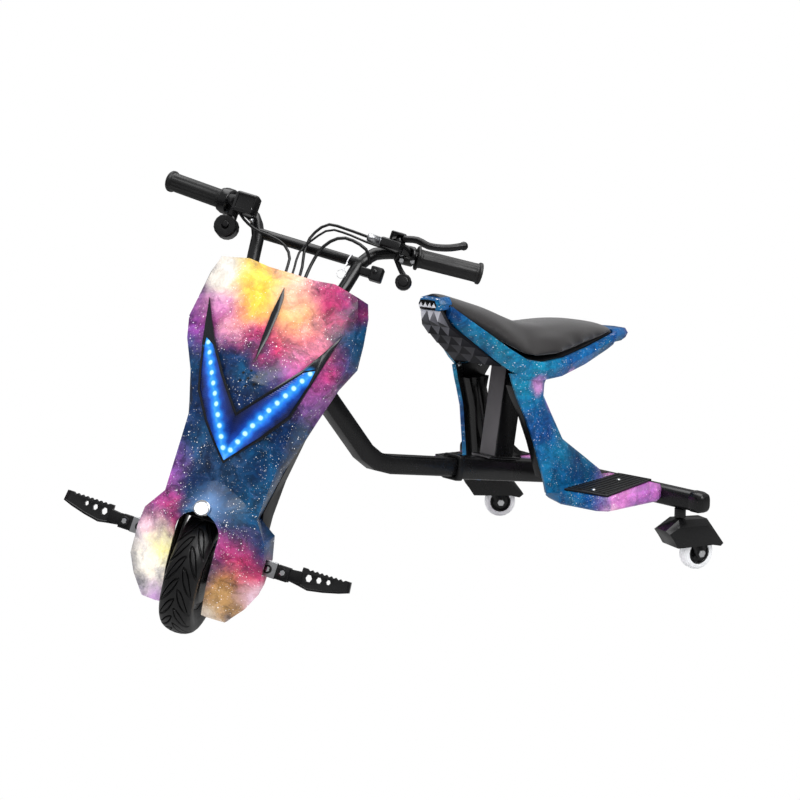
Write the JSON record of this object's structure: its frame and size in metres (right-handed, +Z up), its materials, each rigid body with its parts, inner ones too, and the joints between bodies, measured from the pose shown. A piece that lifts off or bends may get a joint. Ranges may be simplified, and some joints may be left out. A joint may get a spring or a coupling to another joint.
{
  "type": "tricycle drifter scooter",
  "caption": "Ride-on drift trike: raked front drive wheel behind a tall painted shield, bent tube frame, padded saddle on two legs with steps, rear swivel casters.",
  "frame": {"origin": "on the floor under the middle of the bounding box", "axes": "+X to the rider's left, -Y forward, +Z up"},
  "size_m": [0.6706, 1.1504, 0.7473],
  "materials": {
    "steel_black": "satin",
    "plastic_black": "matte",
    "rubber_black": "matte",
    "silver": "satin",
    "shield_paint": "gloss",
    "seat_paint": "gloss",
    "bezel": "gloss",
    "v_lens": "gloss",
    "clear_lens": "clear",
    "vinyl": "fine grain",
    "front_rubber": "matte",
    "motor": "satin",
    "white_tyre": "satin",
    "battery": "matte",
    "button": "satin"
  },
  "bodies": {
    "rear": {"crossbar": "steel_black", "cushion": "vinyl", "end_cap_left": "plastic_black", "end_cap_right": "plastic_black", "leg_liner_left": "plastic_black", "leg_liner_right": "plastic_black", "rear_sleeve": "steel_black", "seat_base": "plastic_black", "seat_front_panel": "plastic_black", "seat_post": "steel_black", "side_shell_left": "seat_paint", "side_shell_right": "seat_paint", "tread_pad_left": "rubber_black", "tread_pad_right": "rubber_black"},
    "front": {"front_frame": "steel_black"},
    "steering": {"accessory_box": "plastic_black", "arch_liner": "plastic_black", "axle": "silver", "battery_display": "plastic_black", "battery_pack": "battery", "brake_cable": "rubber_black", "brake_clamp": "plastic_black", "centre_fin": "plastic_black", "controller": "silver", "fork": "steel_black", "grip_left": "rubber_black", "handlebar": "steel_black", "headlight_lens": "clear_lens", "headlight_ring": "silver", "horn_disc": "plastic_black", "light_cable": "rubber_black", "peg_bracket_left": "silver", "peg_bracket_right": "silver", "shield_back": "plastic_black", "shield_front": "shield_paint", "speaker": "plastic_black", "switch_body": "plastic_black", "switch_cable": "rubber_black", "throttle_cable": "rubber_black", "throttle_housing": "plastic_black", "v_light_bezel": "bezel", "v_light_lens": "v_lens"},
    "throttle_grip": {"throttle_grip": "rubber_black"},
    "brake_lever": {"brake_lever": "steel_black"},
    "horn_button": {"horn_button": "button"},
    "mode_button": {"mode_button": "button"},
    "peg_left": {"peg_left": "steel_black"},
    "peg_right": {"peg_right": "steel_black"},
    "front_wheel": {"front_tyre": "front_rubber", "hub_motor": "motor"},
    "caster_left": {"caster_fork_left": "steel_black", "caster_cover_left": "plastic_black"},
    "caster_wheel_left": {"caster_tyre_left": "white_tyre", "caster_hub_left": "plastic_black"},
    "caster_right": {"caster_fork_right": "steel_black", "caster_cover_right": "plastic_black"},
    "caster_wheel_right": {"caster_tyre_right": "white_tyre", "caster_hub_right": "plastic_black"}
  },
  "joints": [
    {"name": "frame_length", "type": "slide", "parent": "rear", "child": "front", "axis": [0, 0.9856, -0.1689], "range_m": [-0.05, 0.05]},
    {"name": "steer", "type": "hinge", "parent": "front", "child": "steering", "pos_m": [0, -0.26987, 0.46479], "axis": [0, 0.3983, 0.9173], "range_deg": [-93.3, 6.7]},
    {"name": "front_wheel_spin", "type": "hinge", "parent": "steering", "child": "front_wheel", "pos_m": [0.00298, -0.42927, 0.10562], "axis": [0.7278, 0.6291, -0.2731], "continuous": true},
    {"name": "throttle_twist", "type": "hinge", "parent": "steering", "child": "throttle_grip", "pos_m": [-0.13275, -0.24207, 0.68766], "axis": [-0.888, -0.3708, 0.272], "range_deg": [0, 60], "stiffness_Nm_per_rad": 0.3, "springref_deg": -28.65},
    {"name": "brake_lever_pull", "type": "hinge", "parent": "steering", "child": "brake_lever", "pos_m": [0.0994, -0.08134, 0.62931], "axis": [0, 0.3983, 0.9173], "range_deg": [0, 20], "stiffness_Nm_per_rad": 2, "springref_deg": -17.19},
    {"name": "horn_press", "type": "slide", "parent": "steering", "child": "horn_button", "axis": [-0.6858, 0.6676, -0.2898], "range_m": [0, 0.002], "stiffness_N_per_m": 500, "springref_m": -0.001},
    {"name": "mode_press", "type": "slide", "parent": "steering", "child": "mode_button", "axis": [-0.6858, 0.6676, -0.2898], "range_m": [0, 0.002], "stiffness_N_per_m": 500, "springref_m": -0.001},
    {"name": "peg_fold_left", "type": "hinge", "parent": "steering", "child": "peg_left", "pos_m": [0.10318, -0.32751, 0.10171], "axis": [0.6858, -0.6676, 0.2898], "range_deg": [0, 85]},
    {"name": "peg_fold_right", "type": "hinge", "parent": "steering", "child": "peg_right", "pos_m": [-0.09769, -0.50114, 0.17709], "axis": [-0.6858, 0.6676, -0.2898], "range_deg": [0, 85]},
    {"name": "caster_swivel_left", "type": "hinge", "parent": "rear", "child": "caster_left", "pos_m": [0.274, 0.45817, 0.1], "axis": [0, 0, 1], "continuous": true},
    {"name": "caster_spin_left", "type": "hinge", "parent": "caster_left", "child": "caster_wheel_left", "pos_m": [0.28343, 0.49602, 0.033], "axis": [0.9703, -0.2419, 0], "continuous": true},
    {"name": "caster_swivel_right", "type": "hinge", "parent": "rear", "child": "caster_right", "pos_m": [-0.274, 0.45817, 0.1], "axis": [0, 0, 1], "continuous": true},
    {"name": "caster_spin_right", "type": "hinge", "parent": "caster_right", "child": "caster_wheel_right", "pos_m": [-0.25108, 0.48973, 0.033], "axis": [0.809, -0.5878, 0], "continuous": true}
  ]
}
